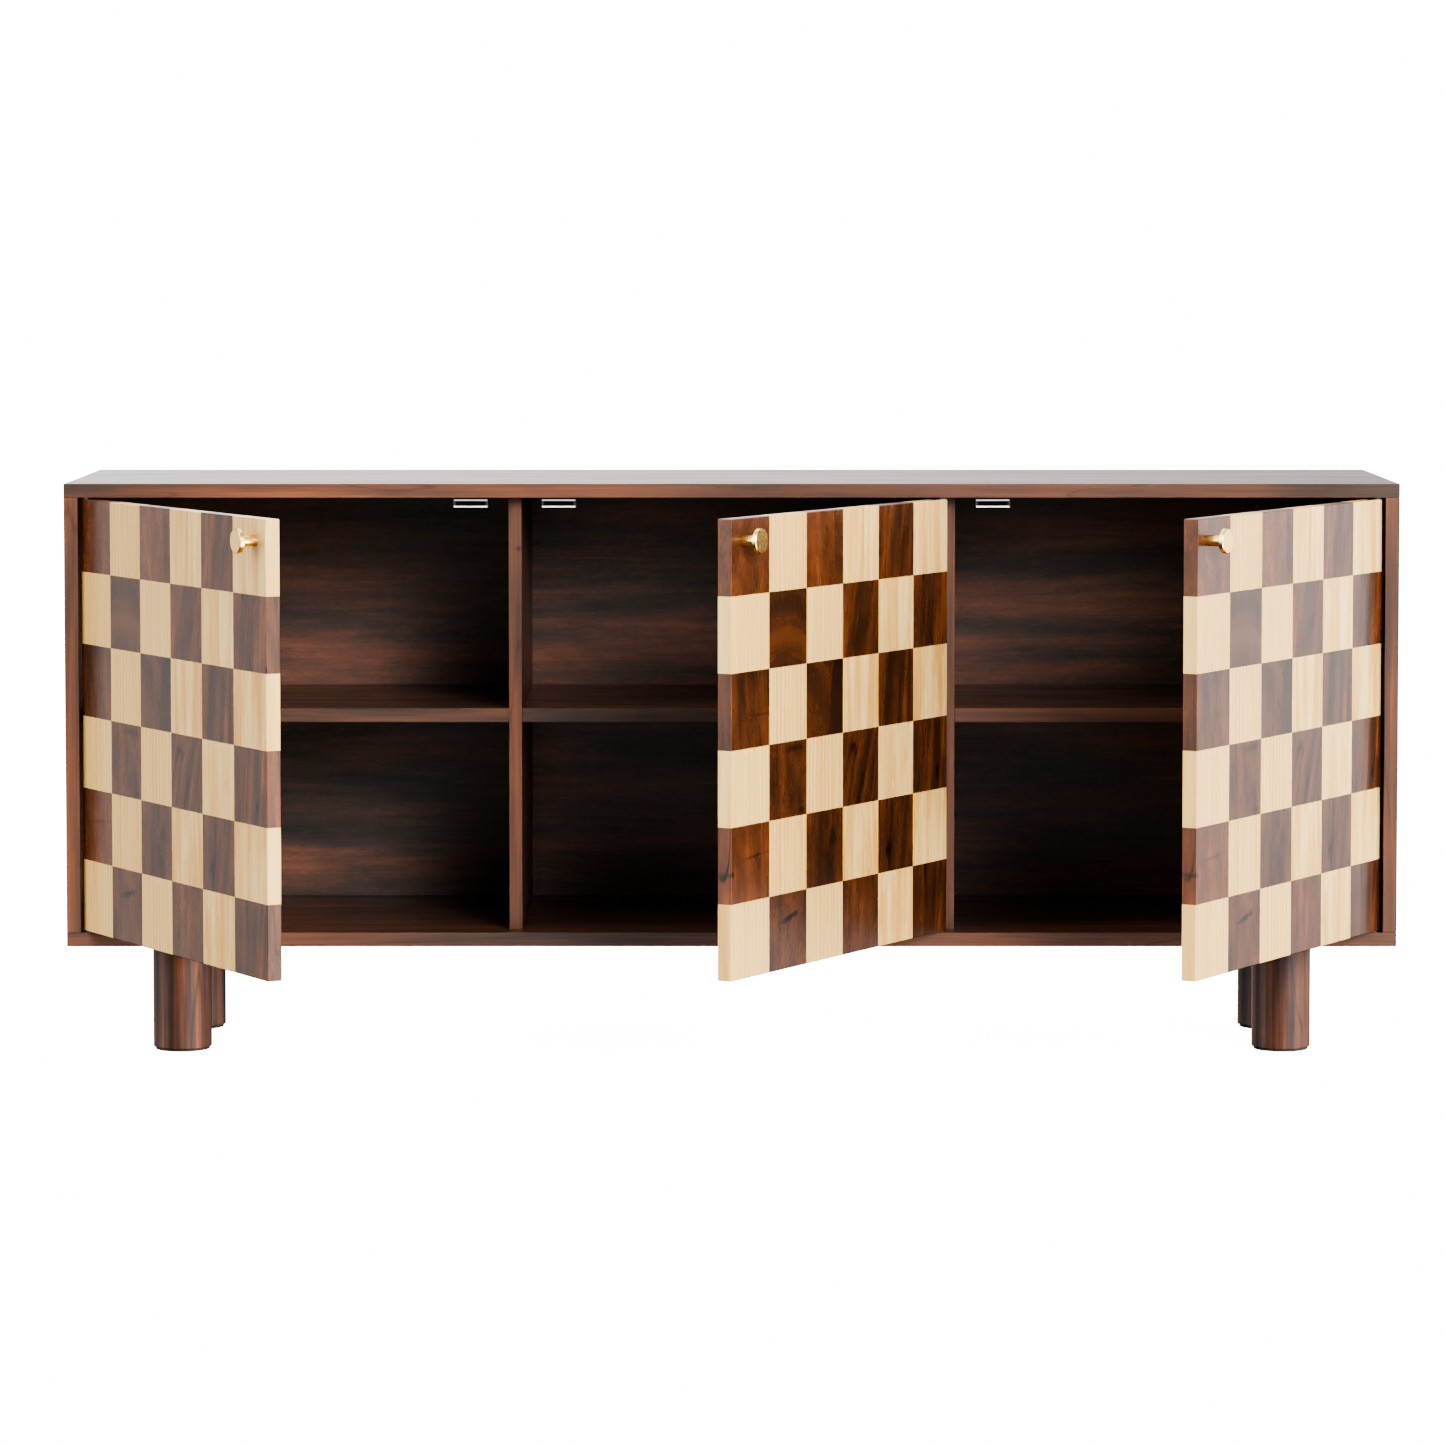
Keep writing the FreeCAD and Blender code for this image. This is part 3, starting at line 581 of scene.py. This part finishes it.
def metal(name, colour, roughness, wear=0.06):
    """Satin metal with a faint cloudy tone and fine scratches in its sheen."""
    material, graph, shader = new_material(name, roughness, metallic=1.0)
    place = graph.object_coordinates()
    cloud = graph.noise(place, 60.0, 4.0, 0.6)
    darker = tuple(channel * (1 - wear * 2) for channel in colour)
    graph.feed(shader.inputs["Base Color"], graph.ramp(cloud, [(0.3, darker), (0.7, colour)]))
    scratch = graph.noise(graph.vector_math("MULTIPLY", place, (1, 1, 0.08)), 2600.0, 2.0)
    graph.feed(shader.inputs["Roughness"], graph.remap(scratch, 0.3, 0.7, roughness * 0.85, roughness * 1.2))
    graph.feed(shader.inputs["Normal"], graph.bump(scratch, 0.05, 0.0001))
    return material


def moulded(name, colour, roughness, specular=0.5):
    """Moulded plastic or rubber with a fine grained skin."""
    material, graph, shader = new_material(name, roughness, specular=specular)
    place = graph.object_coordinates()
    cloud = graph.noise(place, 90.0, 3.0, 0.6)
    lighter = tuple(channel * 1.35 for channel in colour)
    graph.feed(shader.inputs["Base Color"], graph.ramp(cloud, [(0.35, colour), (0.7, lighter)]))
    skin = graph.noise(place, 1800.0, 2.0)
    graph.feed(shader.inputs["Normal"], graph.bump(skin, 0.2, 0.0002))
    return material


def dress(material, *names):
    """Give CAD nodes a material."""
    for name in names:
        piece = frame["nodes"][name]
        piece.data.materials.clear()
        piece.data.materials.append(material)


def dress_carcass():
    """Walnut on the carcass and legs, the legs' walnut darkened as painted shade, beech on the dowels and
    rubber under the legs.
    """
    dress(panel_wood("walnut_top", "X", seed=0.3), "top_panel")
    dress(panel_wood("walnut_bottom", "X", seed=1.2), "bottom_panel")
    for number, side in enumerate(("left", "right")):
        dress(panel_wood("walnut_side_" + side, "Z", seed=2.1 + number), side + "_side_panel")
    low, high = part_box("left_divider")
    knot = (high.x - PIN_KNOT_RADIUS, low.y, high.z - PIN_KNOT_DROP)
    dress(panel_wood("walnut_divider_left", "Z", seed=7.9, knot=knot), "left_divider")
    dress(panel_wood("walnut_divider_right", "Z", seed=5.4), "right_divider")
    for number, bay in enumerate(("left", "middle", "right")):
        dress(panel_wood("walnut_shelf_" + bay, "X", seed=6.7 + number), bay + "_shelf")
    dress(panel_wood("walnut_back", "X", BACK_TONES, 9.5, BACK_FIGURE, vein=0.0), "back_panel")
    # The legs' walnut takes the darker tones that paint in the shade under the carcass.
    for number, leg in enumerate(("front_left", "front_right", "rear_left", "rear_right")):
        wood = panel_wood("walnut_" + leg, "Z", SHADED_LEG_TONES, 11.3 + number, LEG_FIGURE, vein=0.6, coat=LEG_COAT)
        dress(wood, leg + "_leg")
    dress(panel_wood("beech_dowels", "Z", BEECH_TONES), "carcass_dowels", "divider_dowels", "shelf_dowels")
    dress(moulded("glide_rubber", RUBBER, 0.75), "leg_glides")


def dress_fittings():
    """Steel, plastic and ferrite on the screws, leg fittings, catches and hinges."""
    zinc = metal("zinc_steel", ZINC, 0.38)
    bright = metal("bright_steel", BRIGHT_STEEL, 0.42)
    black = metal("hinge_steel", BLACK_STEEL, 0.45)
    dress(zinc, "leg_mounting_plates", "leg_hanger_bolts", "leg_plate_screws", "back_panel_screws")
    dress(zinc, "catch_screws")
    dress(bright, "catch_pole_plates")
    dress(moulded("catch_plastic", BROWN_PLASTIC, 0.5), "catch_housings")
    dress(moulded("magnet_ferrite", FERRITE, 0.8, specular=0.1), "catch_magnets")
    dress(black, "hinge_carcass_leaves", "hinge_pins", "hinge_washers", "hinge_carcass_screws")
    for door in DOORS:
        start = door + "_door_"
        dress(black, start + "hinge_leaves", start + "hinge_screws")
        dress(bright, start + "strike_plate")
        dress(zinc, start + "strike_screw", start + "knob_screw")


def dress_doors():
    """Walnut and pine on the doors' blocks and brass on their knobs."""
    knob_brass = metal("knob_brass", BRASS, 0.27, wear=0.02)
    for door in DOORS:
        start = door + "_door_"
        dress(block_wood("walnut_blocks_" + door, door, pale=False), start + "dark_blocks")
        dress(block_wood("pine_blocks_" + door, door, pale=True), start + "light_blocks")
        dress(knob_brass, start + "knob")


def add_camera():
    """Camera in front of the unit."""
    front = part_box("top_panel")[0].y
    data = bpy.data.cameras.new("camera")
    data.lens = CAMERA_LENS
    data.sensor_width = CAMERA_SENSOR
    data.shift_x, data.shift_y = CAMERA_SHIFT
    data.clip_end = CAMERA_REACH
    camera = bpy.data.objects.new("camera", data)
    camera.location = (CAMERA_SIDE, front - CAMERA_DISTANCE, CAMERA_HEIGHT)
    camera.rotation_euler = (math.pi / 2 - CAMERA_PITCH, 0, 0)
    bpy.context.scene.collection.objects.link(camera)
    bpy.context.scene.camera = camera


def add_floor():
    """Pale glowing floor, which the camera sees but the object neither reflects nor takes light from."""
    mesh = bpy.data.meshes.new("floor")
    half = FLOOR_HALF_WIDTH
    corners = [(-half, -half, 0), (half, -half, 0), (half, half, 0), (-half, half, 0)]
    mesh.from_pydata(corners, [], [(0, 1, 2, 3)])
    floor = bpy.data.objects.new("floor", mesh)
    bpy.context.scene.collection.objects.link(floor)
    material, graph, shader = new_material("floor_paper", 0.9, specular=0.1)
    grain = graph.noise(graph.object_coordinates(), 3.0, 3.0)
    graph.feed(shader.inputs["Base Color"], graph.ramp(grain, [(0.3, PAPER_SHADE), (0.7, PAPER)]))
    shader.inputs["Emission Color"].default_value = (1, 1, 1, 1)
    shader.inputs["Emission Strength"].default_value = FLOOR_GLOW
    mesh.materials.append(material)
    floor.visible_diffuse = False
    floor.visible_glossy = False


def add_world():
    """Softboxes and bounce boards of a studio, far off, and plain white for what the camera sees."""
    world = bpy.data.worlds.new("studio")
    world.use_nodes = True
    bpy.context.scene.world = world
    graph = Graph(world.node_tree)
    looking = graph.node("TexCoord").outputs["Generated"]
    light = 0.0
    for _, azimuth, elevation, half_width, strength in STUDIO:
        aligned = graph.node("VectorMath", operation="DOT_PRODUCT")
        graph.feed(aligned.inputs[0], looking)
        graph.feed(aligned.inputs[1], towards(azimuth, elevation))
        sharpness = math.log(2) / (1 - math.cos(math.radians(half_width)))
        fall = graph.math("MULTIPLY_ADD", aligned.outputs["Value"], sharpness, -sharpness)
        light = graph.math("MULTIPLY_ADD", graph.math("EXPONENT", fall), strength, light)
    seen = graph.math("MULTIPLY", graph.node("LightPath").outputs["Is Camera Ray"], BACKDROP)
    level = graph.math("MAXIMUM", light, seen)
    background = world.node_tree.nodes["Background"]
    background.inputs["Color"].default_value = (1, 1, 1, 1)
    graph.feed(background.inputs["Strength"], level)


def towards(azimuth, elevation):
    """Unit vector towards a light, in degrees to the right of the camera's side and upwards."""
    azimuth, elevation = math.radians(azimuth), math.radians(elevation)
    flat = math.cos(elevation)
    return math.sin(azimuth) * flat, -math.cos(azimuth) * flat, math.sin(elevation)


bpy.context.scene.view_settings.view_transform = "AgX"
bpy.context.scene.view_settings.look = "AgX - High Contrast"
add_camera()
add_world()
add_floor()
dress_carcass()
dress_fittings()
dress_doors()
